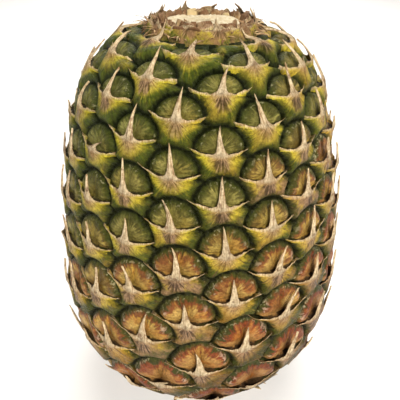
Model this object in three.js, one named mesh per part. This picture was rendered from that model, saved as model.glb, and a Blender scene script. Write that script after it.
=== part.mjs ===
// A pineapple with its crown twisted off, standing on the cut end of its stalk.
// Millimetres, +Z up, origin at the middle of the resting flat.
import * as THREE from 'three';
import { mergeVertices } from 'three/addons/utils/BufferGeometryUtils.js';

// ---- Driving dimensions ------------------------------------------------------------

const widestRadius = 65;
const shoulderHeight = 172.6;
const eyeRelief = 4.2; // how far the grooves lie below the tops of the eyes
const paper = 0.9; // thickness of the dry leaf bases and bracts
const clearance = 0.4; // air between pieces that touch on the fruit

const scarRadius = 14; // the pale disc where the crown came away
const scarHeight = shoulderHeight + 2.9;
const ledgeRadius = scarRadius + 1.5; // foot of the scar, where the leaf bases start

// Half outline of the fruit, as [share of widest radius, share of shoulder height].
const outline = new THREE.SplineCurve([
  [0.34, 1.0], // outer edge of the crown ledge
  [0.51, 0.99],
  [0.735, 0.896], // shoulder
  [0.877, 0.724],
  [0.963, 0.533],
  [1.0, 0.319], // widest level
  [0.929, 0.184],
  [0.703, 0.076], // haunch
  [0.377, 0.012],
  [0.246, 0.0], // rim of the resting flat
].map(([radius, height]) => new THREE.Vector2(radius * widestRadius, height * shoulderHeight)));

// ---- Eyes: a 137-degree spiral with 8, 13 and 21 visible rows -----------------------

const spiralRows = 21; // the steepest rows
const turnsPerRow = 8; // whole turns of the spiral between neighbours in such a row
const divergence = THREE.MathUtils.degToRad(137.173); // turn from one eye to the next
const drift = THREE.MathUtils.degToRad(0.0016); // how that turn eases along the spiral
const firstAngle = THREE.MathUtils.degToRad(7.2); // angle of the eye that faces front
const frontEye = 41; // its number, counting from the crown
const smallEye = 256; // skin area of one eye at the crown, mm2
const largeEye = 640; // and at the base
const growthMiddle = 108; // distance down the skin where the eyes grow fastest, mm
const growthLength = 22;
const rowLean = 4.5; // the rows climb to one side by this much, mm

// Walks down the outline and counts how many eyes of skin lie above each point.
function measureSkin(steps = 400) {
  const table = [{ length: 0, eyes: 0, ...outline.getPoint(0) }];
  for (let step = 1; step <= steps; step++) {
    const above = table[step - 1];
    const point = outline.getPoint(step / steps);
    const stride = Math.hypot(point.x - above.x, point.y - above.y);
    const length = above.length + stride;
    const eyeArea = smallEye + (largeEye - smallEye) / (1 + Math.exp((growthMiddle - length) / growthLength));
    const eyes = above.eyes + (Math.PI * (point.x + above.x) * stride) / eyeArea;
    table.push({ length, eyes, x: point.x, y: point.y });
  }
  return table;
}

const skin = measureSkin();
const skinLength = skin.at(-1).length;
const eyeCount = Math.floor(skin.at(-1).eyes);

// Reads the skin table at the row where the given column reaches the given value.
function skinAt(column, value) {
  const limited = THREE.MathUtils.clamp(value, 0, skin.at(-1)[column]);
  const below = Math.max(1, skin.findIndex((row) => row[column] >= limited));
  const [upper, lower] = [skin[below - 1], skin[below]];
  const share = (limited - upper[column]) / (lower[column] - upper[column]);
  const blend = (key) => THREE.MathUtils.lerp(upper[key], lower[key], share);
  return { length: blend('length'), eyes: blend('eyes'), radius: blend('x'), height: blend('y') };
}

function eyeCentre(number) {
  const fromFront = number - frontEye;
  const angle = firstAngle - divergence * fromFront + drift * fromFront ** 2;
  const { length } = skinAt('eyes', number);
  const level = (2 * length) / skinLength - 1;
  return { angle, length: length - rowLean * Math.sin(angle) * (1 - level ** 2) };
}

const eyes = Array.from({ length: eyeCount }, (_, number) => eyeCentre(number));

// Depth of the skin below the tops of the eyes: zero on an eye, deepest between two.
function grooveDepth(angle, { length, radius }) {
  const distances = eyes.map((eye) => {
    const turn = Math.atan2(Math.sin(angle - eye.angle), Math.cos(angle - eye.angle));
    return Math.hypot(turn * radius, length - eye.length);
  });
  const [nearest, second] = distances.sort((a, b) => a - b);
  return eyeRelief * (nearest / second) ** 3;
}

// ---- Closed surfaces ---------------------------------------------------------------

function meshOf(name, geometry, material) {
  const mesh = new THREE.Mesh(mergeVertices(geometry, 1e-4), material);
  mesh.name = name;
  return mesh;
}

// Rings of points from top to bottom, closed by a point at each end.
function ringedGeometry(topPoint, rings, bottomPoint) {
  const columns = rings[0].length;
  const points = [topPoint, ...rings.flat(), bottomPoint];
  const last = points.length - 1;
  const at = (ring, column) => 1 + ring * columns + (column % columns);
  const faces = [];
  for (let column = 0; column < columns; column++) {
    faces.push(0, at(0, column), at(0, column + 1));
    for (let ring = 0; ring < rings.length - 1; ring++) {
      const [a, b] = [at(ring, column), at(ring, column + 1)];
      const [c, d] = [at(ring + 1, column), at(ring + 1, column + 1)];
      faces.push(a, c, b, b, c, d);
    }
    faces.push(last, at(rings.length - 1, column + 1), at(rings.length - 1, column));
  }
  const geometry = new THREE.BufferGeometry().setFromPoints(points);
  geometry.setIndex(faces);
  return geometry;
}

// A point at an angle round the fruit, with zero at the front and positive to the right.
function around(angle, radius, height) {
  return new THREE.Vector3(radius * Math.sin(angle), -radius * Math.cos(angle), height);
}

function flatRing(radius, height, angles) {
  return angles.map((angle) => around(angle, radius, height));
}

const columnsPerRow = 4;
const ringsPerEye = 7;

// Angles of the mesh columns where this many eyes lie above: they follow the steepest rows.
function columnAngles(eyesAbove) {
  const columns = spiralRows * columnsPerRow;
  const fromFront = eyesAbove - frontEye;
  const rowTurn = (2 * Math.PI * turnsPerRow) / spiralRows - divergence;
  const twist = firstAngle + rowTurn * fromFront + drift * fromFront ** 2;
  return Array.from({ length: columns }, (_, column) => twist + (2 * Math.PI * column) / columns);
}

function fruitBody() {
  const ringCount = Math.round((eyeCount / spiralRows) * ringsPerEye);
  const crownAngles = columnAngles(0);
  const stalkAngles = columnAngles(skin.at(-1).eyes);
  const rings = [
    flatRing(scarRadius, scarHeight, crownAngles),
    flatRing(ledgeRadius, shoulderHeight, crownAngles),
  ];
  for (let ring = 0; ring < ringCount; ring++) {
    const row = skinAt('eyes', (skin.at(-1).eyes * ring) / ringCount);
    const edgeFade = Math.min(1, row.length / 8, (skinLength - row.length) / 20);
    rings.push(columnAngles(row.eyes).map((angle) => {
      const depth = edgeFade * grooveDepth(angle, row);
      return around(angle, row.radius - depth, row.height - depth * edgeFade * 0.2);
    }));
  }
  rings.push(flatRing(skin.at(-1).x, 0, stalkAngles));
  const geometry = ringedGeometry(around(0, 0, scarHeight), rings, around(0, 0, 0));
  const rind = new THREE.MeshStandardMaterial({ color: 0x7d7a35, roughness: 0.6, metalness: 0 });
  return meshOf('fruit_body', geometry, rind);
}

// ---- Dry leaf bases and bracts ------------------------------------------------------

// A flat tongue with a blunt point: x across, y along, z through its thickness.
function tongue(width, length) {
  const shape = new THREE.Shape();
  shape.moveTo(-width / 2, 0);
  shape.lineTo(width / 2, 0);
  shape.quadraticCurveTo(width * 0.55, length * 0.6, 0, length);
  shape.quadraticCurveTo(-width * 0.55, length * 0.6, -width / 2, 0);
  return new THREE.ExtrudeGeometry(shape, { depth: paper, curveSegments: 3, bevelEnabled: false });
}

// Moves every point of a geometry to where the given function puts it.
function reshape(geometry, place) {
  const position = geometry.attributes.position;
  const point = new THREE.Vector3();
  for (let index = 0; index < position.count; index++) {
    point.fromBufferAttribute(position, index);
    const moved = place(point);
    position.setXYZ(index, moved.x, moved.y, moved.z);
  }
  geometry.deleteAttribute('normal');
  geometry.deleteAttribute('uv');
  return geometry;
}

const leafCount = 13;
const goldenShare = 0.618;

// One torn leaf base, standing on the crown ledge and leaning outwards.
function crownLeafBase(index, { name, radius, width, length, lean, turn }) {
  const angle = (2 * Math.PI * (index + turn)) / leafCount;
  const torn = 0.75 + 0.4 * ((index * goldenShare) % 1);
  const foot = shoulderHeight + clearance;
  const geometry = reshape(tongue(width, length * torn), ({ x, y, z }) => (
    around(angle + x / radius, radius + z + lean * y, foot + y)
  ));
  const dryLeaf = new THREE.MeshStandardMaterial({ color: 0xa98a5c, roughness: 0.85, metalness: 0 });
  return meshOf(`${name}_${String(index + 1).padStart(2, '0')}`, geometry, dryLeaf);
}

// One dry bract that lies out from the stalk, under the lowest eyes.
function basalBract(index) {
  const angle = (2 * Math.PI * index) / leafCount;
  const foot = { radius: 27, height: clearance };
  const length = 13 + 5 * ((index * goldenShare) % 1);
  const rise = 0.33;
  const geometry = reshape(tongue(9, length), ({ x, y, z }) => (
    around(angle + x / (foot.radius + y), foot.radius + y, foot.height + rise * y + (paper - z))
  ));
  const dryBract = new THREE.MeshStandardMaterial({ color: 0x8a6a45, roughness: 0.9, metalness: 0 });
  return meshOf(`basal_bract_${String(index + 1).padStart(2, '0')}`, geometry, dryBract);
}

const innerLeaves = { name: 'inner_leaf_base', radius: 16, width: 6.4, length: 6, lean: 0.1, turn: 0 };
const outerLeaves = { name: 'outer_leaf_base', radius: 18.6, width: 7.6, length: 5, lean: 0.25, turn: 0.5 };

// ---- The pineapple -----------------------------------------------------------------

const pineapple = new THREE.Group();
pineapple.name = 'pineapple';
pineapple.add(fruitBody());
for (let index = 0; index < leafCount; index++) {
  pineapple.add(crownLeafBase(index, innerLeaves));
  pineapple.add(crownLeafBase(index, outerLeaves));
  pineapple.add(basalBract(index));
}

export default pineapple;
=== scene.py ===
import math
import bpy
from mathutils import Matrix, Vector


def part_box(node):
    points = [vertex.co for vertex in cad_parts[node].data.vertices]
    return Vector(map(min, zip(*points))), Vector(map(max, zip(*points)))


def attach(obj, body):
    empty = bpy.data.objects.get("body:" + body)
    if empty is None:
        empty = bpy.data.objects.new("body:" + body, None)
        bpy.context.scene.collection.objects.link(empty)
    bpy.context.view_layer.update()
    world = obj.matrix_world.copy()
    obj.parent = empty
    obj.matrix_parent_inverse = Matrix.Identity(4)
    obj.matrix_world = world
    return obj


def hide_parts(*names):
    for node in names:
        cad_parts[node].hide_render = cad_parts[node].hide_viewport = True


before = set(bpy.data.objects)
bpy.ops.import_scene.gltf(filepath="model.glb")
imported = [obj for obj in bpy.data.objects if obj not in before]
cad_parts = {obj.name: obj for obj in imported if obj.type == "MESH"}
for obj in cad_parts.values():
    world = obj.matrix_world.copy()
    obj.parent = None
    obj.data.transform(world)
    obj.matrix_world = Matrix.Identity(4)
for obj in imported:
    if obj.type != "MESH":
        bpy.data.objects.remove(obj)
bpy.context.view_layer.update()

from types import SimpleNamespace

import bpy
import numpy as np
from mathutils import Matrix, Vector

MM = 0.001  # pieces are worked out in millimetres and scaled once, in new_piece()

# ---- The fruit's outline, measured from the CAD body -------------------------------

scar_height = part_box("fruit_body")[1].z / MM
shoulder_height = scar_height - 2.9
scar_radius = 14.0
widest_radius = 65.0

OUTLINE = np.array([  # share of widest radius, share of shoulder height
    (0.34, 1.0), (0.51, 0.99), (0.735, 0.896), (0.877, 0.724), (0.963, 0.533),
    (1.0, 0.319), (0.929, 0.184), (0.703, 0.076), (0.377, 0.012), (0.246, 0.0),
]) * (widest_radius, shoulder_height)


def catmull_rom(points, steps):
    """Points along a smooth curve through the given ones."""
    place = np.linspace(0, len(points) - 1, steps)
    start = np.minimum(place.astype(int), len(points) - 2)
    t = (place - start)[:, None]
    last = len(points) - 1
    before, here = points[np.maximum(start - 1, 0)], points[start]
    there, after = points[start + 1], points[np.minimum(start + 2, last)]
    leave, arrive = (there - before) / 2, (after - here) / 2
    return ((2 * here - 2 * there + leave + arrive) * t**3
            + (-3 * here + 3 * there - 2 * leave - arrive) * t**2 + leave * t + here)


curve = catmull_rom(OUTLINE, 800)
stride = np.hypot(*np.diff(curve, axis=0).T)
skin_radius, skin_height = curve.T
skin_length = np.concatenate([[0], np.cumsum(stride)])
total_length = skin_length[-1]

# ---- Eyes: a 137-degree spiral with 8, 13 and 21 visible rows -----------------------

DIVERGENCE = math.radians(137.173)  # turn from one eye to the next
DRIFT = math.radians(0.0016)  # how much that turn changes with each eye
FRONT_EYE = 41  # this eye sits nearly at the front
FIRST_ANGLE = math.radians(7.2)  # of the front eye
SMALL_EYE, LARGE_EYE = 256.0, 640.0  # skin area of one eye at the crown and the base, mm2
GROWTH_MIDDLE, GROWTH_LENGTH = 108.0, 22.0  # where the eyes grow larger, and over what length, mm
ROW_LEAN = 4.5  # the rows stand this much higher on one side than in front, mm
EYE_SQUEEZE, EYE_STRETCH = 0.93, 1.07  # width and height, in shares of the side of a square of equal area

eye_area = SMALL_EYE + (LARGE_EYE - SMALL_EYE) / (1 + np.exp((GROWTH_MIDDLE - skin_length) / GROWTH_LENGTH))
eyes_per_mm = 2 * np.pi * skin_radius / eye_area
eyes_above = np.concatenate([[0], np.cumsum((eyes_per_mm[1:] + eyes_per_mm[:-1]) / 2 * stride)])
eye_count = int(eyes_above[-1])

rng = np.random.default_rng(7)
number = np.arange(eye_count)
from_front = number - FRONT_EYE
eye_angle = FIRST_ANGLE - DIVERGENCE * from_front + DRIFT * from_front**2
eye_length = np.interp(number, eyes_above, skin_length)
eye_level = 2 * eye_length / total_length - 1
eye_length = eye_length - ROW_LEAN * np.sin(eye_angle) * (1 - eye_level**2)
eye_radius = np.interp(eye_length, skin_length, skin_radius)
eye_side = np.sqrt(np.interp(eye_length, skin_length, eye_area))
eye_width, eye_height = EYE_SQUEEZE * eye_side, EYE_STRETCH * eye_side
eye_tone = rng.random((eye_count, 3))
eye_dry = rng.random(eye_count)

# Shape of one eye, in shares of its width and height, with the point's foot at (0, 0).
eye_share = eye_length / total_length
dome_width = 0.58 + 0.06 * eye_share
dome_height = 0.50 + 0.20 * eye_share
LEFT_REACH, RIGHT_REACH = 0.72, 0.64  # of the bract's wings
LEFT_RISE, RIGHT_RISE = 0.17, 0.10
WING_CURVE = 1.6

# Depths and heights of the skin's relief, mm.
GROOVE_DEPTH = 2.8
DOME_TOP = -0.6
BRACT_TOP = 0.2
FURROW_DEPTH = 0.7  # between the dome's two lobes
TUCK_DEPTH = 0.7  # where the dome dips under the bract's upper edge
WAVE_HEIGHT = 0.5  # of the whole fruit's unevenness

SIDE_COLOUR_SHIFT = 0.18  # how far the colours move along the crown-to-stalk scale with the side: towards the stalk end's on the right, towards the crown's on the left
RIPENESS_SPREAD = 0.16  # how much the colours differ from eye to eye


def wrap(angle):
    return (angle + np.pi) % (2 * np.pi) - np.pi


def wing_line(x):
    """Height of the bract's upper edge above the foot of its point."""
    left = LEFT_RISE * np.clip(-x / LEFT_REACH, 0, 1.4) ** WING_CURVE
    right = RIGHT_RISE * np.clip(x / RIGHT_REACH, 0, 1.4) ** WING_CURVE
    return left + right


def smooth(value):
    """A gentle step from 0 to 1."""
    value = np.clip(value, 0, 1)
    return value * value * (3 - 2 * value)


# ---- The skin as a grid of points ---------------------------------------------------

COLUMNS, ROWS = 372, 264
grid_angle = np.linspace(-np.pi, np.pi, COLUMNS, endpoint=False)
grid_length = np.linspace(0, total_length, ROWS)
grid_radius = np.interp(grid_length, skin_length, skin_radius)

FAR = 9.0  # more than any distance measured in shares of an eye
dome_inside = np.full((ROWS, COLUMNS), FAR)
dome_outside = np.full((ROWS, COLUMNS), FAR)
dome_owner = np.full((ROWS, COLUMNS), -1)
bract_near = np.full((ROWS, COLUMNS), FAR)
bract_next = np.full((ROWS, COLUMNS), FAR)
bract_owner = np.full((ROWS, COLUMNS), -1)


def local_place(eye, rows, columns):
    """Position of grid points beside an eye, in shares of its width and height."""
    turn = wrap(grid_angle[columns] - eye_angle[eye])
    x = turn[None, :] * grid_radius[rows][:, None] / eye_width[eye]
    y = (eye_length[eye] - grid_length[rows])[:, None] / eye_height[eye]
    return x, np.broadcast_to(y, x.shape)


for eye in range(eye_count):
    rows = np.flatnonzero(np.abs(grid_length - eye_length[eye]) < 1.3 * eye_height[eye])
    narrow = max(grid_radius[rows].min(), 14)
    columns = np.flatnonzero(np.abs(wrap(grid_angle - eye_angle[eye])) < 1.4 * eye_width[eye] / narrow)
    block = np.ix_(rows, columns)
    x, y = local_place(eye, rows, columns)
    above = y > wing_line(x)
    dome = np.where(above, np.hypot(x / dome_width[eye], y / dome_height[eye]), FAR)
    inside = dome < np.minimum(1, dome_inside[block])
    dome_inside[block] = np.where(inside, dome, dome_inside[block])
    dome_owner[block] = np.where(inside, eye, dome_owner[block])
    dome_outside[block] = np.minimum(dome_outside[block], np.where(dome >= 1, dome, FAR))
    bract = np.where(above, FAR, np.hypot(0.6 * x, 1.3 * (y + 0.2)))
    closer = bract < bract_near[block]
    bract_next[block] = np.where(closer, bract_near[block], np.minimum(bract_next[block], bract))
    bract_near[block] = np.where(closer, bract, bract_near[block])
    bract_owner[block] = np.where(closer, eye, bract_owner[block])

on_dome = dome_owner >= 0
owner = np.where(on_dome, dome_owner, np.maximum(bract_owner, 0))
place_x = wrap(grid_angle[None, :] - eye_angle[owner]) * grid_radius[:, None] / eye_width[owner]
place_y = (eye_length[owner] - grid_length[:, None]) / eye_height[owner]
above_wing = place_y - wing_line(place_x)
mean_size = (dome_width * eye_width + dome_height * eye_height) / 2
rim_dome = np.where(on_dome, 1 - dome_inside, dome_outside - 1) * mean_size[owner]
rim_bract = (bract_next - bract_near) * 0.45 * eye_width[owner]
rim = np.where(on_dome, rim_dome, np.minimum(rim_dome, rim_bract))


def dome_surface():
    """Height of a dome in two lobes, parted by a furrow and tucked under its bract."""
    rise = 1 - (1 - np.clip(rim / (0.27 * mean_size[owner]), 0, 1)) ** 2.2
    height = -GROOVE_DEPTH + (GROOVE_DEPTH + DOME_TOP) * rise
    swell = 0.35 + 0.7 * (grid_length / total_length)[:, None]
    lobes = -swell * np.cos(3.0 * np.pi * place_x / dome_width[owner] / 2) * smooth(rim / 4)
    furrow = -FURROW_DEPTH * np.exp(-((place_x - 0.05 * (eye_tone[owner, 0] - 0.5)) / 0.035) ** 2)
    furrow = furrow * smooth((place_y - 0.05) / 0.15) * smooth(rim / 2)
    tucked = -TUCK_DEPTH * np.exp(-((above_wing / 0.08) ** 2))
    return height + lobes + furrow + tucked


def bract_surface():
    """Height of the fleshy pad under a bract's point."""
    rise = 1 - (1 - np.clip(rim / 2.6, 0, 1)) ** 2
    height = -GROOVE_DEPTH + (GROOVE_DEPTH + BRACT_TOP) * rise
    peak = 0.6 * np.exp(-((place_x / 0.16) ** 2) - ((place_y + 0.08) / 0.2) ** 2)
    return height + peak * rise


end_fade = np.clip(np.minimum(grid_length / 3, (total_length - grid_length) / 20), 0, 1)[:, None]
relief = np.where(on_dome, dome_surface(), bract_surface()) * end_fade
waviness = WAVE_HEIGHT * np.sin(3 * grid_angle + 0.4)[None, :] * np.sin(grid_length / 26)[:, None] * end_fade
relief = relief + waviness

slope_radius = np.gradient(np.interp(grid_length, skin_length, skin_radius), grid_length)
slope_height = np.gradient(np.interp(grid_length, skin_length, skin_height), grid_length)
normal_out = -slope_height / np.hypot(slope_radius, slope_height)
normal_up = slope_radius / np.hypot(slope_radius, slope_height)


def on_skin(angle, length, lift):
    """Points lifted off the smooth outline at the given angles and distances from the crown."""
    angle, length = np.broadcast_arrays(np.asarray(angle, float), np.asarray(length, float))
    out = np.interp(length, grid_length, normal_out)
    up = np.interp(length, grid_length, normal_up)
    beyond = np.clip(-length, 0, None)  # points near the crown carry on up the collar
    radius = np.interp(length, skin_length, skin_radius) + lift * out - 0.45 * beyond
    level = np.interp(length, skin_length, skin_height) + lift * up + 0.75 * beyond
    return np.stack([radius * np.sin(angle), -radius * np.cos(angle), level], -1)


def sample_relief(angle, length):
    """The skin's relief between grid points."""
    column = (wrap(angle) + np.pi) / (2 * np.pi) * COLUMNS
    row = np.clip(length / total_length, 0, 1) * (ROWS - 1)
    c0, r0 = np.floor(column).astype(int), np.minimum(row.astype(int), ROWS - 2)
    c, r = column - c0, row - r0
    c0, c1 = c0 % COLUMNS, (c0 + 1) % COLUMNS
    top = relief[r0, c0] * (1 - c) + relief[r0, c1] * c
    bottom = relief[r0 + 1, c0] * (1 - c) + relief[r0 + 1, c1] * c
    return top * (1 - r) + bottom * r


# ---- Making pieces ------------------------------------------------------------------

def new_piece(name, points, faces, material, uv=None, attributes=None):
    """A smooth mesh piece from points in millimetres, riding on the fruit's one body."""
    mesh = bpy.data.meshes.new(name)
    mesh.from_pydata((np.asarray(points) * MM).tolist(), [], faces)
    for key, values in (attributes or {}).items():
        layer = mesh.attributes.new(key, "FLOAT_VECTOR", "POINT")
        layer.data.foreach_set("vector", np.asarray(values, np.float32).ravel())
    if uv is not None:
        layer = mesh.uv_layers.new(name="OFBake")
        layer.data.foreach_set("uv", np.asarray(uv, np.float32).ravel())
    mesh.materials.append(material)
    mesh.polygons.foreach_set("use_smooth", [True] * len(mesh.polygons))
    mesh.update()
    piece = bpy.data.objects.new(name, mesh)
    bpy.context.scene.collection.objects.link(piece)
    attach(piece, "root")
    return piece


class Blades:
    """Collects thin closed blades, such as leaf strips and threads, for one piece."""

    SIDES = 8

    def __init__(self):
        self.points, self.faces, self.along = [], [], []
        self.count = 0

    def add(self, centres, sides, normals, half_widths, half_thicknesses, tone=0.5):
        rings = len(centres)
        turn = np.linspace(0, 2 * np.pi, self.SIDES, endpoint=False)
        across, through = np.cos(turn), np.sin(turn)
        offset = (sides[:, None, :] * (half_widths[:, None] * across)[..., None]
                  + normals[:, None, :] * (half_thicknesses[:, None] * through)[..., None])
        ring_points = (centres[:, None, :] + offset).reshape(-1, 3)
        self.points.append(np.vstack([ring_points, centres[:1], centres[-1:]]))
        share = np.linspace(0, 1, rings)[:, None]
        data = np.stack(np.broadcast_arrays(share, across[None, :], np.float64(tone)), -1)
        self.along.append(np.vstack([data.reshape(-1, 3), [[0, 0, tone], [1, 0, tone]]]))
        first, n = self.count, self.SIDES
        for ring in range(rings - 1):
            a = first + ring * n
            for side in range(n):
                nxt = (side + 1) % n
                self.faces.append((a + side, a + nxt, a + n + nxt, a + n + side))
        start, end = first + rings * n, first + rings * n + 1
        top = first + (rings - 1) * n
        for side in range(n):
            nxt = (side + 1) % n
            self.faces.append((start, first + nxt, first + side))
            self.faces.append((end, top + side, top + nxt))
        self.count += rings * n + 2

    def piece(self, name, material, slot):
        return new_piece(name, np.vstack(self.points), self.faces, material,
                         attributes={"blade": np.vstack(self.along)})


def unit(vectors):
    return vectors / np.maximum(np.linalg.norm(vectors, axis=-1, keepdims=True), 1e-9)


def blade_frames(centres, side_hint):
    """Side and normal directions for a blade that follows the given centres."""
    ahead = unit(np.gradient(centres, axis=0))
    normals = unit(np.cross(ahead, side_hint))
    return unit(np.cross(normals, ahead)), normals


# ---- Materials ----------------------------------------------------------------------

# Colours from the crown (0) to the stalk end (1).
HEART_STOPS = [(0.0, (0.20, 0.195, 0.045)), (0.20, (0.25, 0.220, 0.048)), (0.40, (0.46, 0.275, 0.045)),
               (0.62, (0.42, 0.210, 0.044)), (0.82, (0.22, 0.085, 0.018)), (1.0, (0.11, 0.042, 0.014))]
SKIRT_STOPS = [(0.0, (0.050, 0.055, 0.005)), (0.45, (0.066, 0.053, 0.005)), (0.75, (0.042, 0.042, 0.004)),
               (1.0, (0.045, 0.024, 0.006))]
PALE_STOPS = [(0.0, (0.42, 0.38, 0.13)), (0.42, (0.66, 0.47, 0.14)), (0.7, (0.50, 0.26, 0.080)),
              (1.0, (0.26, 0.13, 0.05))]
BLUSH_STOPS = [(0.0, (0.08, 0.085, 0.012)), (0.24, (0.10, 0.085, 0.014)), (0.40, (0.20, 0.068, 0.016)),
               (0.7, (0.22, 0.044, 0.011)), (1.0, (0.08, 0.024, 0.008))]
ORANGE_STOPS = [(0.0, (0.17, 0.145, 0.026)), (0.24, (0.26, 0.190, 0.030)), (0.40, (0.42, 0.165, 0.022)),
                (0.7, (0.44, 0.140, 0.018)), (1.0, (0.16, 0.050, 0.012))]
WARM_STOPS = [(0.0, (0.40, 0.30, 0.03)), (0.4, (0.50, 0.26, 0.03)), (0.7, (0.32, 0.120, 0.020)),
              (1.0, (0.13, 0.055, 0.02))]
WING_STOPS = [(0.0, (0.50, 0.42, 0.024)), (0.25, (0.58, 0.46, 0.028)), (0.5, (0.58, 0.375, 0.030)),
              (0.75, (0.28, 0.160, 0.024)), (1.0, (0.12, 0.060, 0.018))]
# Deep green of the bracts' lower parts, partly painted shade.
DEEP_GREEN_AND_SHADE_STOPS = [(0.0, (0.058, 0.080, 0.003)), (0.4, (0.068, 0.076, 0.004)), (0.7, (0.052, 0.052, 0.004)),
              (1.0, (0.045, 0.024, 0.006))]
# Near-black painted shade in the grooves.
GROOVE_SHADE_STOPS = [(0.0, (0.014, 0.020, 0.002)), (0.5, (0.020, 0.020, 0.002)), (0.8, (0.018, 0.017, 0.002)),
                (1.0, (0.030, 0.016, 0.005))]

# Colours that stay the same all down the fruit.
STRAW_DARK, STRAW_PALE, STRAW_CRACK = (0.33, 0.16, 0.08), (0.58, 0.39, 0.22), (0.17, 0.070, 0.032)
POINT_DARK, POINT_PALE, POINT_STAIN = (0.38, 0.24, 0.12), (0.68, 0.55, 0.35), (0.20, 0.10, 0.05)
PAPER_DARK, PAPER_PALE = (0.34, 0.20, 0.09), (0.62, 0.48, 0.28)
CRACK_PALE, CRACK_DARK = (0.36, 0.22, 0.13), (0.055, 0.028, 0.014)
SCRATCH, PARCHED, WITHERED = (0.11, 0.055, 0.022), (0.30, 0.175, 0.085), (0.30, 0.165, 0.075)
# Colours of pale beads, which are partly painted highlight, and of painted glints along the rims.
BEAD_HIGHLIGHT_GREEN, BEAD_HIGHLIGHT_ROSY, PAINTED_GLINT = (0.38, 0.35, 0.20), (0.58, 0.36, 0.25), (0.46, 0.43, 0.25)
# Painted shade colours: under each bract's upper edge, and round the grooves.
TUCK_SHADE, RIM_SHADE_GREEN = (0.022, 0.013, 0.005), (0.03, 0.05, 0.004)
STALK_DARK, STALK_PALE = (0.14, 0.08, 0.035), (0.42, 0.30, 0.16)


class Nodes:
    """A small helper for building a material's node tree."""

    def __init__(self, name):
        self.material = bpy.data.materials.new(name)
        self.material.use_nodes = True
        self.tree = self.material.node_tree
        self.shader = self.tree.nodes["Principled BSDF"]

    def new(self, kind, **settings):
        node = self.tree.nodes.new(kind)
        for key, value in settings.items():
            setattr(node, key, value)
        return node

    def link(self, value, socket):
        """Feed a socket from another node's output, or set it to a number or a colour."""
        if isinstance(value, bpy.types.NodeSocket):
            self.tree.links.new(value, socket)
        elif isinstance(value, (tuple, list)) and len(value) == 3 and socket.type == "RGBA":
            socket.default_value = (*value, 1)
        else:
            socket.default_value = value

    def math(self, operation, a, b=0.0, clamp=False):
        node = self.new("ShaderNodeMath", operation=operation, use_clamp=clamp)
        self.link(a, node.inputs[0])
        self.link(b, node.inputs[1])
        return node.outputs[0]

    def plus(self, a, b):
        return self.math("ADD", a, b)

    def minus(self, a, b):
        return self.math("SUBTRACT", a, b)

    def times(self, first, *others):
        for other in others:
            first = self.math("MULTIPLY", first, other)
        return first

    def size(self, value):
        return self.math("ABSOLUTE", value)

    def distance(self, x, y):
        return self.math("SQRT", self.plus(self.times(x, x), self.times(y, y)))

    def swing(self, noise, width):
        """A noise's swing about its middle, scaled."""
        return self.times(self.minus(noise, 0.5), width)

    def ramp(self, value, low_end, high_end, to_low=0.0, to_high=1.0):
        """A smooth step between two ends. They may be given in falling order."""
        node = self.new("ShaderNodeMapRange", interpolation_type="SMOOTHSTEP")
        for socket, setting in zip(node.inputs[:5], (value, low_end, high_end, to_low, to_high)):
            self.link(setting, socket)
        return node.outputs[0]

    def mix(self, share, a, b, blend="MIX"):
        node = self.new("ShaderNodeMix", data_type="RGBA", blend_type=blend)
        self.link(share, node.inputs[0])
        self.link(a, node.inputs[6])
        self.link(b, node.inputs[7])
        return node.outputs[2]

    def speckle(self, colour, noise, darkest, palest):
        """Multiply a colour by a fine grain."""
        return self.mix(1.0, colour, self.mix(self.ramp(noise, 0.36, 0.60), darkest, palest), "MULTIPLY")

    def stops(self, value, colours):
        """A colour that changes smoothly through the given stops."""
        node = self.new("ShaderNodeValToRGB")
        elements = node.color_ramp.elements
        while len(elements) < len(colours):
            elements.new(0.5)
        for element, (place, colour) in zip(elements, colours):
            element.position = place
            element.color = (*colour, 1)
        self.link(value, node.inputs[0])
        return node.outputs[0]

    def attribute(self, name):
        """The three numbers that a piece holds at each point under this name."""
        node = self.new("ShaderNodeAttribute", attribute_name=name)
        split = self.new("ShaderNodeSeparateXYZ")
        self.tree.links.new(node.outputs["Vector"], split.inputs[0])
        return split.outputs

    def noise(self, scale, detail=4.0, vector=None, roughness=0.55):
        """Noise in the piece's own metres, or over the given vector."""
        node = self.new("ShaderNodeTexNoise")
        node.inputs["Scale"].default_value = scale
        node.inputs["Detail"].default_value = detail
        node.inputs["Roughness"].default_value = roughness
        if vector is None:
            vector = self.new("ShaderNodeTexCoord").outputs["Object"]
        self.link(vector, node.inputs["Vector"])
        return node.outputs["Fac"]

    def combine(self, x, y, z):
        node = self.new("ShaderNodeCombineXYZ")
        for socket, value in zip(node.inputs, (x, y, z)):
            self.link(value, socket)
        return node.outputs[0]

    def finish(self, colour, roughness, bump=None, distance=0.0003, strength=1.0):
        self.shader.inputs["Specular IOR Level"].default_value = 0.2
        self.link(colour, self.shader.inputs["Base Color"])
        self.link(roughness, self.shader.inputs["Roughness"])
        if bump is not None:
            node = self.new("ShaderNodeBump")
            node.inputs["Distance"].default_value = distance
            node.inputs["Strength"].default_value = strength
            self.link(bump, node.inputs["Height"])
            self.link(node.outputs[0], self.shader.inputs["Normal"])
        return self.material


def eye_fields(m):
    """What a point of the skin or of a bract knows about its eye, and two noises for both."""
    eye = SimpleNamespace()
    eye.x, eye.y, eye.edge = m.attribute("eye_place")
    eye.above, eye.level, eye.tone = m.attribute("eye_kind")
    eye.margin, eye.spike, eye.dry = m.attribute("eye_leaf")
    eye.aside = m.size(eye.x)
    eye.fine = m.noise(900, 6, roughness=0.75)
    eye.mottle = m.noise(330, 5)
    return eye


def polar(m, eye, foot, spokes, rings, seed):
    """Streaks that run out from a foot above or below the point's, and the distance from it."""
    lowered = m.minus(eye.y, foot)
    reach = m.distance(eye.x, lowered)
    direction = m.math("ARCTAN2", eye.x, lowered)
    vector = m.combine(m.times(direction, spokes), m.times(reach, rings), m.times(seed, 40))
    return m.noise(1.0, 4, vector, 0.6), reach


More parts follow.
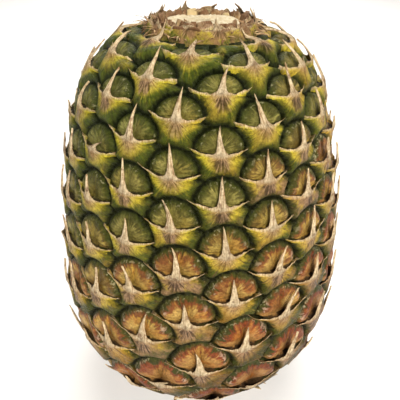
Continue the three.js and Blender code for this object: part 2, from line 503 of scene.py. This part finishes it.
def bract_flesh(m, eye, streak):
    """Yellow wings that turn deep green towards the lower edge, partly their own green and partly painted
    shade that starts higher at the corners, with warmer patches.
    """
    deep_green_and_shade = m.stops(eye.level, DEEP_GREEN_AND_SHADE_STOPS)
    # The deep green is partly the bract's own green and partly painted shade, which starts higher towards
    # the corners.
    corner_shade_shift = m.minus(0.36, m.times(eye.aside, 0.45))
    low = m.ramp(m.plus(eye.above, corner_shade_shift), 0.12, -0.08)
    colour = m.mix(m.math("ADD", low, streak, True), m.stops(eye.level, WING_STOPS), deep_green_and_shade)
    warm = m.noise(75, 2)
    colour = m.mix(m.times(m.ramp(warm, 0.50, 0.66), 0.55), colour, m.stops(eye.level, WARM_STOPS))
    return m.mix(m.times(m.ramp(warm, 0.46, 0.34), 0.45), colour, deep_green_and_shade)


def under_point(m, eye):
    """A ragged patch under the point, where cracks form."""
    aside = m.plus(eye.aside, m.swing(eye.mottle, 0.3))
    below = m.times(m.ramp(aside, 0.17, 0.10), m.ramp(eye.y, -0.03, -0.09))
    return m.times(below, m.ramp(eye.y, -0.36, -0.24), m.ramp(eye.dry, 0.35, 0.5), 0.8)


def bract_colour(m, eye):
    """Flesh, then straw round the point's foot, then scratches, dry patches and cracks."""
    fibre, reach = polar(m, eye, 0.02, 10, 3, eye.tone)
    thread, _ = polar(m, eye, 0.04, 7, 2.5, eye.dry)
    streak = m.swing(fibre, 1.6)
    colour = bract_flesh(m, eye, streak)

    straw = m.mix(m.ramp(fibre, 0.35, 0.62), STRAW_DARK, STRAW_PALE)
    straw = m.mix(m.times(m.ramp(thread, 0.49, 0.54), 0.80), straw, STRAW_CRACK)
    near = m.ramp(m.plus(reach, m.times(streak, 0.16)), 0.38, 0.06)
    colour = m.mix(m.times(near, 0.85), colour, straw)

    scratched = m.times(m.ramp(thread, 0.58, 0.62), m.ramp(eye.level, 0.1, 0.5, 0.25, 0.8))
    colour = m.mix(scratched, colour, SCRATCH)
    parched = m.times(m.ramp(eye.dry, 0.80, 0.88), m.ramp(eye.dry, 1.2, 1.1),
                      m.ramp(eye.mottle, 0.38, 0.56, 0.15, 0.85), m.ramp(eye.level, 0.15, 0.4))
    colour = m.mix(parched, colour, PARCHED)
    cracks = m.mix(m.ramp(thread, 0.44, 0.54), CRACK_PALE, CRACK_DARK)
    return m.mix(under_point(m, eye), colour, cracks), fibre


def dome_heart(m, eye, pleat, wrinkle, patch):
    """The middle of a dome: two paler lobes, wrinkles, and brown and orange patches."""
    heart = m.stops(eye.level, HEART_STOPS)
    pale = m.stops(eye.level, PALE_STOPS)
    heart = m.mix(m.ramp(pleat, 0.40, 0.56), m.mix(0.45, heart, m.stops(eye.level, SKIRT_STOPS)), heart)
    from_lobe = m.distance(m.minus(eye.aside, 0.20), m.minus(eye.y, 0.24))
    from_lobe = m.plus(from_lobe, m.swing(eye.mottle, 0.15))
    lobe = m.times(m.ramp(from_lobe, 0.20, 0.04), m.ramp(eye.level, 0.2, 0.65, 0.15, 0.75))
    heart = m.mix(lobe, heart, pale)
    heart = m.mix(m.times(m.ramp(wrinkle, 0.54, 0.68), 0.35), heart, pale)
    heart = m.mix(m.times(m.ramp(patch, 0.48, 0.62), 0.75), heart, m.stops(eye.level, BLUSH_STOPS))
    flush = m.ramp(m.noise(120, 3), 0.50, 0.62)
    return m.mix(m.times(flush, 0.65), heart, m.stops(eye.level, ORANGE_STOPS))


def dome_beads_and_highlights(m, eye):
    """Clusters of pale beads low on the sides of the riper domes: raised in the bump, and pale as painted
    highlights.
    """
    bead_and_highlight = m.times(m.ramp(m.noise(440, 2), 0.52, 0.58), m.ramp(eye.edge, 4.5, 2.5),
                   m.ramp(eye.edge, 0.5, 1.2))
    return m.times(bead_and_highlight, m.ramp(eye.aside, 0.28, 0.40), m.ramp(eye.level, 0.28, 0.42),
                   m.ramp(m.noise(150, 2), 0.40, 0.50))


def painted_rim_glints(m, eye, patch):
    """Painted highlights: small pale flecks along a dome's rim that stand in for glints of light."""
    return m.times(m.ramp(m.noise(850, 1), 0.56, 0.62), m.ramp(eye.edge, 2.6, 1.6),
                   m.ramp(eye.edge, 0.5, 0.9), m.ramp(patch, 0.42, 0.60, 0.15, 1.0))


def rind_material():
    """Domes with a dark rim, bract pads and grooves, with painted shade: near-black in the grooves and dark
    green round them.
    """
    m = Nodes("pineapple_rind")
    eye = eye_fields(m)
    patch = m.noise(90, 3)
    pleat, _ = polar(m, eye, 0.10, 6, 2.5, eye.tone)
    wrinkle, _ = polar(m, eye, -0.05, 15, 4, eye.dry)
    skirt = m.stops(eye.level, SKIRT_STOPS)

    inward = m.times(eye.edge, m.ramp(eye.level, 0.2, 0.7, 1.0, 0.68))
    inward = m.plus(m.plus(inward, m.swing(pleat, 9.0)), m.swing(m.noise(200, 3), 8.0))
    rim_colour = m.mix(m.ramp(inward, 0.8, 2.6), skirt, m.stops(eye.level, BLUSH_STOPS))
    dome = m.mix(m.ramp(inward, 2.6, 4.4), rim_colour, dome_heart(m, eye, pleat, wrinkle, patch))
    lip = m.times(m.ramp(eye.above, 0.16, 0.08), m.ramp(eye.level, 0.35, 0.7), 0.55)
    dome = m.mix(lip, dome, m.stops(eye.level, PALE_STOPS))
    # Pale beads: raised in the bump, and coloured pale as painted highlights.
    bead_and_highlight = dome_beads_and_highlights(m, eye)
    dome = m.mix(m.times(bead_and_highlight, 0.75), dome, m.mix(m.ramp(eye.level, 0.3, 0.6), BEAD_HIGHLIGHT_GREEN, BEAD_HIGHLIGHT_ROSY))
    # Painted highlights: pale flecks along the rims stand in for glints of light.
    painted_glint = painted_rim_glints(m, eye, patch)
    dome = m.mix(m.times(painted_glint, 0.55), dome, PAINTED_GLINT)
    # Painted shade: a dark line where the dome dips under the bract's upper edge.
    tucked = m.ramp(m.plus(eye.above, m.swing(eye.mottle, 0.05)), 0.030, 0.005)
    dome = m.mix(m.times(tucked, 0.9), dome, TUCK_SHADE)

    bract, fibre = bract_colour(m, eye)
    on_bract = m.ramp(eye.above, -0.02, -0.04)
    colour = m.mix(on_bract, dome, bract)

    # Painted shade: a dark green band round the grooves, weaker where the glints are, and near-black in the
    # grooves themselves.
    ragged = m.plus(eye.edge, m.swing(eye.mottle, 2.0))
    shaded = m.times(m.ramp(ragged, 3.0, 0.6), m.ramp(painted_glint, 0.2, 0.8, 0.9, 0.25))
    colour = m.mix(shaded, colour, m.mix(0.5, skirt, RIM_SHADE_GREEN))
    colour = m.mix(m.ramp(ragged, 1.3, 0.4), colour, m.stops(eye.level, GROOVE_SHADE_STOPS))
    colour = m.speckle(colour, eye.fine, (0.62, 0.58, 0.52), (1.1, 1.1, 1.1))
    on_stalk = m.ramp(eye.margin, 0.10, 0.22)  # the skin marks its cut stalk in this channel
    colour = m.mix(on_stalk, colour, m.mix(m.ramp(eye.mottle, 0.35, 0.65), STALK_DARK, STALK_PALE))

    height = m.mix(on_bract, m.plus(m.times(pleat, 0.7), m.times(wrinkle, 0.5)), fibre)
    height = m.plus(m.plus(height, m.times(eye.fine, 0.30)), m.times(bead_and_highlight, 0.25))
    return m.finish(colour, m.ramp(eye.mottle, 0.3, 0.7, 0.32, 0.60), height, 0.0022, 1.0)


def bract_material():
    """The raised bract: fleshy below, papery along its upper margin, and a dry straw point."""
    m = Nodes("pineapple_bract")
    eye = eye_fields(m)
    flesh, fibre = bract_colour(m, eye)
    grain = m.noise(1.0, 4, m.combine(m.times(eye.x, 60), m.times(eye.y, 5), m.times(eye.tone, 40)))

    point = m.mix(m.ramp(grain, 0.32, 0.56), POINT_DARK, POINT_PALE)
    point = m.mix(m.times(m.ramp(eye.mottle, 0.54, 0.66), 0.7), point, POINT_STAIN)
    colour = m.mix(m.ramp(m.plus(eye.spike, m.swing(grain, 0.12)), -0.07, 0.03), flesh, point)

    thin = m.plus(eye.margin, m.times(m.minus(eye.mottle, 0.45), 3.0))
    paper = m.mix(m.ramp(grain, 0.4, 0.6), PAPER_DARK, PAPER_PALE)
    colour = m.mix(m.times(m.ramp(thin, 0.6, 0.1), 0.75), colour, paper)
    withered = m.times(m.ramp(eye.dry, 1.1, 1.4), m.ramp(eye.mottle, 0.38, 0.6, 0.1, 0.85),
                       m.ramp(eye.aside, 0.50, 0.15, 0.25, 1.0))
    colour = m.mix(withered, colour, WITHERED)
    colour = m.speckle(colour, eye.fine, (0.64, 0.60, 0.54), (1.05, 1.05, 1.05))

    height = m.plus(m.plus(fibre, m.times(grain, 0.6)), m.times(eye.fine, 0.35))
    return m.finish(colour, m.ramp(eye.mottle, 0.3, 0.7, 0.42, 0.65), height, 0.0010, 0.9)


def straw_material(name, foot, middle, tip, seed):
    """Dry plant matter: fibres along the blade, darker stains, a paler or darker tip."""
    m = Nodes(name)
    along, across, tone = m.attribute("blade")
    fibre = m.noise(1.0, 4, m.combine(m.times(across, 3.5), m.times(along, 1.2), m.times(tone, 50 + seed)))
    stain = m.noise(350, 3)
    colour = m.mix(m.ramp(along, 0.0, 0.35), foot, middle)
    colour = m.mix(m.ramp(along, 0.7, 1.0), colour, tip)
    colour = m.mix(m.times(m.ramp(fibre, 0.35, 0.7), 0.4), colour, (0.66, 0.52, 0.32))
    colour = m.mix(m.times(m.ramp(stain, 0.50, 0.64), 0.65), colour, (0.14, 0.065, 0.028))
    colour = m.mix(m.ramp(tone, 0.25, 0.9, 0.0, 0.85), colour, (0.13, 0.062, 0.026))
    colour = m.mix(m.ramp(tone, 0.22, 0.02, 0.0, 0.6), colour, (0.55, 0.44, 0.22))
    return m.finish(colour, 0.75, fibre, 0.0003, 0.8)


def scar_material():
    """Pale fibres of the core, stained brown in patches."""
    m = Nodes("crown_scar")
    fibre = m.noise(700, 5)
    stain = m.noise(160, 3)
    colour = m.mix(m.ramp(fibre, 0.3, 0.7), (0.42, 0.34, 0.21), (0.56, 0.49, 0.34))
    colour = m.mix(m.times(m.ramp(stain, 0.55, 0.7), 0.35), colour, (0.50, 0.34, 0.18))
    return m.finish(colour, 0.8, fibre, 0.0005, 0.8)


RIND = rind_material()
BRACT = bract_material()
LEAF = straw_material("torn_leaf", (0.56, 0.40, 0.20), (0.44, 0.27, 0.12), (0.13, 0.055, 0.022), 11)
SCRAP = straw_material("dry_bract", (0.32, 0.18, 0.09), (0.45, 0.29, 0.15), (0.60, 0.44, 0.27), 19)
SCAR = scar_material()


# ---- The skin -----------------------------------------------------------------------

# The UV map holds the rind as a wide band and each end's disc in the strip above it.
BAND_HEIGHT = 0.93
DISC_LEVEL, DISC_RADIUS = 0.965, 0.03
CROWN_DISC, STALK_DISC = 0.1, 0.2  # how far along the strip each disc's middle is


def band_faces():
    """The faces between the skin's rows, with their corners in the UV map."""
    faces, uv = [], []
    for row in range(ROWS - 1):
        near, far = BAND_HEIGHT * row / (ROWS - 1), BAND_HEIGHT * (row + 1) / (ROWS - 1)
        for column in range(COLUMNS):
            a, b = row * COLUMNS + column, row * COLUMNS + (column + 1) % COLUMNS
            left, right = column / COLUMNS, (column + 1) / COLUMNS
            faces.append((a, a + COLUMNS, b + COLUMNS, b))
            uv += [(left, near), (left, far), (right, far), (right, near)]
    return faces, uv


def disc_faces(centre, row, middle, flipped):
    """A fan of faces from an end's centre point to its row, with their corners in the UV map."""
    faces, uv = [], []
    for column in range(COLUMNS):
        a, b = row * COLUMNS + column, row * COLUMNS + (column + 1) % COLUMNS
        here, there = [(middle + DISC_RADIUS * math.cos(turn), DISC_LEVEL + DISC_RADIUS * math.sin(turn))
                       for turn in (2 * math.pi * column / COLUMNS, 2 * math.pi * (column + 1) / COLUMNS)]
        if flipped:
            a, b, here, there = b, a, there, here
        faces.append((centre, a, b))
        uv += [(middle, DISC_LEVEL), here, there]
    return faces, uv


def fruit_skin():
    """The whole rind as one closed skin. Each point knows its place on its eye."""
    angle = np.broadcast_to(grid_angle[None, :], (ROWS, COLUMNS))
    length = np.broadcast_to(grid_length[:, None], (ROWS, COLUMNS))
    radius = np.interp(length, skin_length, skin_radius) + relief * normal_out[:, None]
    level = np.interp(length, skin_length, skin_height) + relief * normal_up[:, None]
    level = np.maximum(level, 0)
    rows = np.stack([radius * np.sin(angle), -radius * np.cos(angle), level], -1).reshape(-1, 3)
    points = np.vstack([rows, [[0, 0, shoulder_height], [0, 0, 0]]])
    crown, stalk = ROWS * COLUMNS, ROWS * COLUMNS + 1

    faces, uv = band_faces()
    crown_faces, crown_uv = disc_faces(crown, 0, CROWN_DISC, False)
    stalk_faces, stalk_uv = disc_faces(stalk, ROWS - 1, STALK_DISC, True)
    faces += crown_faces + stalk_faces
    uv += crown_uv + stalk_uv

    ripeness = 1 - level / shoulder_height + SIDE_COLOUR_SHIFT * np.sin(angle) + eye_ripeness[owner]
    place = np.stack([place_x, place_y, rim * end_fade], -1).reshape(-1, 3)
    kind = np.stack([above_wing, ripeness, eye_tone[owner, 1]], -1).reshape(-1, 3)
    leaf = np.stack([0 * relief, 0 * relief, eye_dry[owner]], -1).reshape(-1, 3)
    # The last two rows are the centre points of the crown end and of the stalk end.
    attributes = {
        "eye_place": np.vstack([place, [[0, -0.3, 0], [0, -0.3, 0]]]),
        "eye_kind": np.vstack([kind, [[-0.3, 0, 0.5], [-0.3, 1, 0.5]]]),
        "eye_leaf": np.vstack([leaf, [[0, 0, 0], [1, 0, 0]]]),
    }
    skin = new_piece("fruit_skin", points, faces, RIND, uv, attributes)
    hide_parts("fruit_body")
    return skin


# ---- Bracts: a raised sheet with two wings and a dry point ------------------------------

SHEET_COLUMNS, SHEET_ROWS = 29, 9
SHEET_DEPTH, CROWN_SHEET_DEPTH = 0.27, 0.80  # below the upper edge, in shares of an eye
FRAY, CROWN_FRAY = 0.010, 0.05  # raggedness of the upper edge, in shares of an eye
POINT_WIDTH, POINT_FLARE = 0.085, 0.13  # half-widths at the foot, in shares of an eye
CROWN_POINT_DRYING = 0.04  # straw starts this much lower on a crown bract, in shares of an eye
FOOT_BURIED = 0.7  # depth of a sheet's foot under the skin, mm
DEEPEST_INSIDE = 9  # points farther in from a bract's edge than this count as this far, mm
AWAY_FROM_GROOVES = 5.0  # what a sheet gives as its distance from the grooves, mm
BARE_END = 24  # length of skin before the stalk's middle that has no bracts, mm

# A last ring of small bracts stands up against the crown's torn collar.
CROWN_BRACTS = 10
CROWN_RING_RADIUS, CROWN_RING_TURN = 20.5, 0.33
WITHERED_DRYNESS = 1.5  # other bracts have a dryness of 0 to 1

crown_turn = 2 * np.pi * (np.arange(CROWN_BRACTS) + rng.uniform(-0.25, 0.25, CROWN_BRACTS)) / CROWN_BRACTS
eye_angle = np.append(eye_angle, wrap(crown_turn + CROWN_RING_TURN))
eye_length = np.append(eye_length, rng.uniform(-5.8, -4.2, CROWN_BRACTS))
eye_radius = np.append(eye_radius, np.full(CROWN_BRACTS, CROWN_RING_RADIUS))
eye_width = np.append(eye_width, rng.uniform(13.5, 16.0, CROWN_BRACTS))
eye_height = np.append(eye_height, rng.uniform(10.5, 12.5, CROWN_BRACTS))
eye_tone = np.vstack([eye_tone, rng.random((CROWN_BRACTS, 3))])
eye_dry = np.append(eye_dry, np.full(CROWN_BRACTS, WITHERED_DRYNESS))
eye_ripeness = RIPENESS_SPREAD * (eye_tone[:, 0] - 0.5)


def point_outline(reach):
    """Heights of a point and its half-width at each, in shares of an eye."""
    height = np.linspace(0, reach, 40)
    blade = POINT_WIDTH * (1 - height / reach) ** 0.8
    flare = POINT_FLARE * np.exp(-height / 0.045) * (1 - height / reach)
    return height, blade + flare


def sheet_shape(eye, worn):
    """One bract laid flat, as a grid of places in shares of its eye."""
    sheet = SimpleNamespace()
    at_crown = eye >= eye_count
    reach = rng.uniform(0.48, 0.66) * (rng.uniform(0.2, 0.5) if worn or at_crown else 1)
    left, right = LEFT_REACH * rng.uniform(0.88, 1.08), RIGHT_REACH * rng.uniform(0.88, 1.08)
    share = np.linspace(-1, 1, SHEET_COLUMNS)
    span = np.where(share < 0, left, right)
    x = (np.sign(share) * np.abs(share) ** 1.9 * span)[None, :]
    sheet.outward = np.abs(x) / span

    heights, widths = point_outline(reach)
    top = np.interp(np.abs(x), widths[::-1], heights[::-1], right=0)
    line = wing_line(x)
    frayed = (CROWN_FRAY if at_crown else FRAY) * rng.standard_normal(x.shape) * (np.abs(x) > 0.12)
    depth = (CROWN_SHEET_DEPTH if at_crown else SHEET_DEPTH) * (1 - sheet.outward**1.5) + 0.02
    y = line - depth + (depth + top + frayed) * np.linspace(0, 1, SHEET_ROWS)[:, None]
    above = y - line

    half = np.interp(np.clip(above, 0, None), heights, widths)
    from_side = np.where(above > 0, (half - np.abs(x)) * eye_width[eye], DEEPEST_INSIDE)
    sheet.edge = np.minimum((line + top + frayed - y) * eye_height[eye], from_side)
    sheet.spike = np.clip(above, 0, None) / reach
    sheet.rise = smooth((y - line + depth) / depth)
    crest = np.clip(1 - np.abs(x) / np.maximum(half, 0.004), 0, 1)
    sheet.keel = 0.45 * crest * smooth((above + 0.08) / 0.1)
    sheet.x, sheet.y, sheet.above = x, y, above
    return sheet


def sheet_lift(sheet, angle, length):
    """How far a sheet stands off the fruit's smooth outline: buried foot, raised edge, lifted point."""
    buried = sample_relief(angle + 0 * sheet.y, length) - FOOT_BURIED
    margin = 0.4 + 0.7 * np.exp(-((sheet.x / 0.15) ** 2)) - 1.2 * sheet.outward**2.5
    margin = margin + rng.uniform(-0.2, 1.2) * sheet.outward**6 + 0.12 * rng.standard_normal(sheet.x.shape)
    flip = rng.uniform(-0.7, 1.1)
    above_skin = buried + FOOT_BURIED + 0.35 * sheet.rise - 0.9 * (1 - sheet.rise)
    lift = np.maximum(buried + (margin - buried) * sheet.rise, above_skin)
    return lift + sheet.keel + 0.35 * sheet.spike + flip * sheet.spike**2.5


def bract_sheet(eye):
    """Points of one bract's outer and inner faces, and what each point knows about its eye."""
    worn = rng.random() < 0.06 + 0.55 * smooth((eye_length[eye] / total_length - 0.5) / 0.35)
    sheet = sheet_shape(eye, worn)
    angle = eye_angle[eye] + sheet.x * eye_width[eye] / eye_radius[eye]
    length = eye_length[eye] - sheet.y * eye_height[eye]
    lift = sheet_lift(sheet, angle, length)
    thickness = 0.18 + 0.5 * (1 - sheet.rise) + 0.25 * sheet.keel

    restless = 0.12 if worn else 0.08
    lean, curl = np.clip(rng.normal(0, restless, 2), -0.16, 0.16)
    bent = sheet.x + lean * sheet.spike + curl * sheet.spike**3
    bent_angle = eye_angle[eye] + bent * eye_width[eye] / eye_radius[eye]
    upper = on_skin(bent_angle, length, lift).reshape(-1, 3)
    lower = on_skin(bent_angle, length, lift - thickness).reshape(-1, 3)

    ripeness = 1 - np.interp(length, skin_length, skin_height) / shoulder_height
    ripeness = ripeness + SIDE_COLOUR_SHIFT * np.sin(angle) + eye_ripeness[eye]
    dried = sheet.above + (CROWN_POINT_DRYING if eye >= eye_count else 0)
    place = (sheet.x, sheet.y, AWAY_FROM_GROOVES)
    kind = (np.minimum(sheet.above, 0), ripeness, eye_tone[eye, 1])
    leaf = (sheet.edge, dried, eye_dry[eye])
    known = np.stack(np.broadcast_arrays(*place, *kind, *leaf), -1).reshape(-1, 9)
    return upper, lower, known


def grid_faces(first, rows, columns, flipped):
    """The faces of a grid of points that starts at the given point."""
    faces = []
    for row in range(rows - 1):
        for column in range(columns - 1):
            a = first + row * columns + column
            quad = (a, a + 1, a + columns + 1, a + columns)
            faces.append(quad[::-1] if flipped else quad)
    return faces


def rim_order(rows, columns):
    """The grid's outer edge as one loop, counter-clockwise."""
    bottom = list(range(columns))
    right = [row * columns + columns - 1 for row in range(1, rows)]
    top = [(rows - 1) * columns + column for column in range(columns - 2, -1, -1)]
    left = [row * columns for row in range(rows - 2, 0, -1)]
    return bottom + right + top + left


def bracts():
    """A closed sheet for each eye, apart from the few round the stalk."""
    points, faces, known = [], [], []
    size = SHEET_ROWS * SHEET_COLUMNS
    loop = rim_order(SHEET_ROWS, SHEET_COLUMNS)
    shown = [eye for eye in range(eye_count + CROWN_BRACTS) if eye_length[eye] < total_length - BARE_END]
    for index, eye in enumerate(shown):
        upper, lower, eye_known = bract_sheet(eye)
        points += [upper, lower]
        known += [eye_known, eye_known]
        first = index * 2 * size
        faces += grid_faces(first, SHEET_ROWS, SHEET_COLUMNS, False)
        faces += grid_faces(first + size, SHEET_ROWS, SHEET_COLUMNS, True)
        for here, there in zip(loop, loop[1:] + loop[:1]):
            faces.append((first + here, first + size + here, first + size + there, first + there))
    place, kind, leaf = np.hsplit(np.vstack(known), 3)
    return new_piece("bracts", np.vstack(points), faces, BRACT,
                     attributes={"eye_place": place, "eye_kind": kind, "eye_leaf": leaf})


# ---- Crown scar and torn collar ------------------------------------------------------

SCAR_RINGS, SCAR_COLUMNS = 14, 96
SCAR_RISE, SCAR_FOOT = 0.6, 5  # above and below the scar's height, mm
SCAR_FOOT_SPREAD = 1.05  # the hidden foot is this much wider than the scar

TORN_FIBRES = 190
BASAL_BRACTS = 34
UP = np.array([0, 0, 1.0])


def circle(angle, radius, level):
    """Points round the fruit's middle line. Angle 0 is at the front."""
    level = np.broadcast_to(level, angle.shape)
    return np.stack([radius * np.sin(angle), -radius * np.cos(angle), level], -1).tolist()


def crown_scar():
    """The pale disc where the crown came off, with a hidden foot that goes down into the fruit."""
    angle = np.linspace(0, 2 * np.pi, SCAR_COLUMNS, endpoint=False)
    top, foot = scar_height + SCAR_RISE, scar_height - SCAR_FOOT
    points = [[0, 0, top]]
    for ring in range(1, SCAR_RINGS + 1):
        share = ring / SCAR_RINGS
        rough = 0.25 * rng.standard_normal(SCAR_COLUMNS) * (ring < SCAR_RINGS)
        wobble = 0.35 * np.sin(3 * angle + 1.1) * share**2
        points += circle(angle, scar_radius * share, top + rough + wobble)
    points += circle(angle, SCAR_FOOT_SPREAD * scar_radius, foot)
    points.append([0, 0, foot])

    faces = []
    last = len(points) - 1
    edge = 1 + SCAR_RINGS * SCAR_COLUMNS
    for column in range(SCAR_COLUMNS):
        following = (column + 1) % SCAR_COLUMNS
        faces.append((0, 1 + column, 1 + following))
        faces.append((last, edge + following, edge + column))
        for ring in range(SCAR_RINGS):
            a = 1 + ring * SCAR_COLUMNS
            b = a + SCAR_COLUMNS
            faces.append((a + column, b + column, b + following, a + following))
    return new_piece("crown_scar", points, faces, SCAR)


def directions(angle):
    """Outwards and to the right at an angle round the fruit. Angle 0 is at the front."""
    out = np.array([math.sin(angle), -math.cos(angle), 0])
    right = np.array([math.cos(angle), math.sin(angle), 0])
    return out, right


def leaf_whorl(name, replaced, strips, radius, height, lean, width):
    """A ring of torn leaf bases, each a short stiff strip with a ragged tip."""
    blades = Blades()
    t = np.linspace(0, 1, 9)
    for index in range(strips):
        angle = 2 * math.pi * (index + rng.uniform(-0.4, 0.4)) / strips
        out, right = directions(angle)
        tall = height * (0.92 + 0.08 * math.cos(angle)) * rng.uniform(0.9, 1.08)
        tilt = lean + rng.normal(0, 0.08)
        bend = rng.normal(0.05, 0.15)
        foot = out * (radius + rng.uniform(-0.6, 0.6)) + UP * (shoulder_height - 1.5)
        outward = tall * (tilt * t + bend * t**3)
        sideways = rng.normal(0, 0.7) * t**2
        centres = foot + np.outer(tall * t, UP) + np.outer(outward, out) + np.outer(sideways, right)
        sides, normals = blade_frames(centres, right)
        half = width * rng.uniform(0.4, 0.7) * (1 - rng.uniform(0.1, 0.7) * t**rng.uniform(4, 12))
        blades.add(centres, sides, normals, half, 0.40 - 0.25 * t, rng.random())
    piece = blades.piece(name, LEAF, "dry_leaf")
    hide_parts(*replaced)
    return piece


def torn_fibres():
    """Loose threads and slivers left where the crown came away."""
    blades = Blades()
    t = np.linspace(0, 1, 10)
    for _ in range(TORN_FIBRES):
        angle = rng.uniform(0, 2 * math.pi)
        out, right = directions(angle)
        reach = rng.uniform(2.5, 9) * (0.35 + 0.65 * abs(math.sin(angle)))
        rise = rng.uniform(0.1, 0.75)
        foot = out * rng.uniform(16.5, 21) + UP * (shoulder_height + rng.uniform(0.3, 2.2))
        sag = rng.uniform(0.2, 0.9) * reach
        outward = reach * rng.uniform(0.3, 1.0) * t
        sideways = reach * rng.normal(0, 0.5) * t
        upward = reach * rise * t - sag * t**2.2
        centres = foot + np.outer(outward, out) + np.outer(sideways, right) + np.outer(upward, UP)
        centres[:, 2] = np.maximum(centres[:, 2], shoulder_height - 3)
        sides, normals = blade_frames(centres, right + 0.4 * rng.standard_normal(3))
        half = rng.uniform(0.15, 0.75) * (1 - t**2) + 0.05
        blades.add(centres, sides, normals, half, 0.12 - 0.06 * t, rng.random())
    return blades.piece("torn_fibres", LEAF, "dry_leaf")


def basal_bracts():
    """Dry scraps that lie outwards round the stalk end, under the lowest eyes."""
    blades = Blades()
    t = np.linspace(0, 1, 12)
    for index in range(BASAL_BRACTS):
        angle = 2 * math.pi * (index + rng.uniform(-0.35, 0.35)) / BASAL_BRACTS
        out, right = directions(angle)
        start, reach = rng.uniform(22, 34), rng.uniform(9, 22)
        rise = rng.uniform(0.25, 0.42)
        sideways = rng.normal(0, 2) * t**2
        level = 0.9 + rise * (start - 22 + reach * t) + rng.uniform(-1.5, 1.0) * t**3
        centres = np.outer(start + reach * t, out) + np.outer(sideways, right) + np.outer(level, UP)
        centres[:, 2] = np.maximum(centres[:, 2], 0.6)
        sides, normals = blade_frames(centres, right)
        half = rng.uniform(1.2, 3.6) * (1 - t**1.5) ** 0.7 + 0.1
        blades.add(centres, sides, normals, half, 0.35 - 0.2 * t, rng.random())
    piece = blades.piece("basal_bracts", SCRAP, "dry_bract")
    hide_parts(*[f"basal_bract_{index:02d}" for index in range(1, 14)])
    return piece


# The order of these calls is the order of their random draws.
fruit_skin()
bracts()
crown_scar()
leaf_whorl("inner_leaf_bases", [f"inner_leaf_base_{i:02d}" for i in range(1, 14)],
           strips=46, radius=15.9, height=7.4, lean=0.12, width=3.6)
leaf_whorl("outer_leaf_bases", [f"outer_leaf_base_{i:02d}" for i in range(1, 14)],
           strips=44, radius=18.2, height=6.8, lean=0.08, width=4.2)
torn_fibres()
basal_bracts()


# ---- Floor, light and camera ----------------------------------------------------------

HORIZON_GLOW, ZENITH_GLOW = 0.38, 0.08
FADE_START, FADE_END = 0.25, 0.65  # heights on a sphere of radius 1 where the glow starts and ends fading
WARM_WHITE = (1.0, 0.96, 0.90)

CAMERA_DISTANCE = 0.2049
CAMERA_TILT = math.radians(32.83)
CAMERA_ROLL = math.radians(0.7)
AIM_HEIGHT = 0.0961
VIEW_WIDTH = 36.0
LENS = 38.74


def studio_floor():
    """A plain pale floor."""
    half = 1.5  # metres
    mesh = bpy.data.meshes.new("floor")
    corners = [(-half, -half, 0), (half, -half, 0), (half, half, 0), (-half, half, 0)]
    mesh.from_pydata(corners, [], [(0, 1, 2, 3)])
    floor = bpy.data.objects.new("floor", mesh)
    bpy.context.scene.collection.objects.link(floor)
    paint = Nodes("studio_floor")
    colour = paint.mix(paint.noise(8, 2), (0.80, 0.80, 0.80), (0.84, 0.84, 0.84))
    mesh.materials.append(paint.finish(colour, 0.9))


def studio_world():
    """A grey surround that is brighter at the horizon than above."""
    world = bpy.data.worlds.new("studio_world")
    world.use_nodes = True
    tree = world.node_tree
    direction = tree.nodes.new("ShaderNodeTexCoord")
    split = tree.nodes.new("ShaderNodeSeparateXYZ")
    fade = tree.nodes.new("ShaderNodeMapRange")
    tree.links.new(direction.outputs["Generated"], split.inputs[0])
    tree.links.new(split.outputs["Z"], fade.inputs["Value"])
    for socket, value in zip(fade.inputs[1:5], (FADE_START, FADE_END, HORIZON_GLOW, ZENITH_GLOW)):
        socket.default_value = value
    tree.links.new(fade.outputs[0], tree.nodes["Background"].inputs["Strength"])
    tree.nodes["Background"].inputs["Color"].default_value = (1, 1, 1, 1)
    bpy.context.scene.world = world
    bpy.context.scene.view_settings.view_transform = "Standard"


def area_light(name, place, target, size, power):
    """A round lamp of the given size and power that faces its target."""
    light = bpy.data.lights.new(name, "AREA")
    light.shape = "DISK"
    light.size = size
    light.energy = power
    light.color = WARM_WHITE
    lamp = bpy.data.objects.new(name, light)
    lamp.location = place
    lamp.rotation_euler = (Vector(target) - Vector(place)).to_track_quat("-Z", "Y").to_euler()
    bpy.context.scene.collection.objects.link(lamp)


def camera():
    """The photo's camera, in front of the fruit and looking down at it from close by."""
    data = bpy.data.cameras.new("camera")
    data.sensor_width = VIEW_WIDTH
    data.lens = LENS
    data.clip_start = 0.01
    view = bpy.data.objects.new("camera", data)
    aim = Vector((0, 0, AIM_HEIGHT))
    view.location = aim + CAMERA_DISTANCE * Vector((0, -math.cos(CAMERA_TILT), math.sin(CAMERA_TILT)))
    look = (aim - view.location).to_track_quat("-Z", "Y").to_matrix().to_4x4()
    view.matrix_world = Matrix.Translation(view.location) @ look @ Matrix.Rotation(CAMERA_ROLL, 4, "Z")
    bpy.context.scene.collection.objects.link(view)
    bpy.context.scene.camera = view


studio_floor()
studio_world()
area_light("key", place=(0.24, -0.93, 0.75), target=(0, 0, 0.1), size=0.4, power=19.5)
area_light("top", place=(0.15, 0.15, 1.2), target=(0, 0, 0.1), size=0.9, power=7.5)
area_light("backdrop", place=(0, 1.2, 1.1), target=(0, 1.1, 0), size=1.2, power=20)
camera()
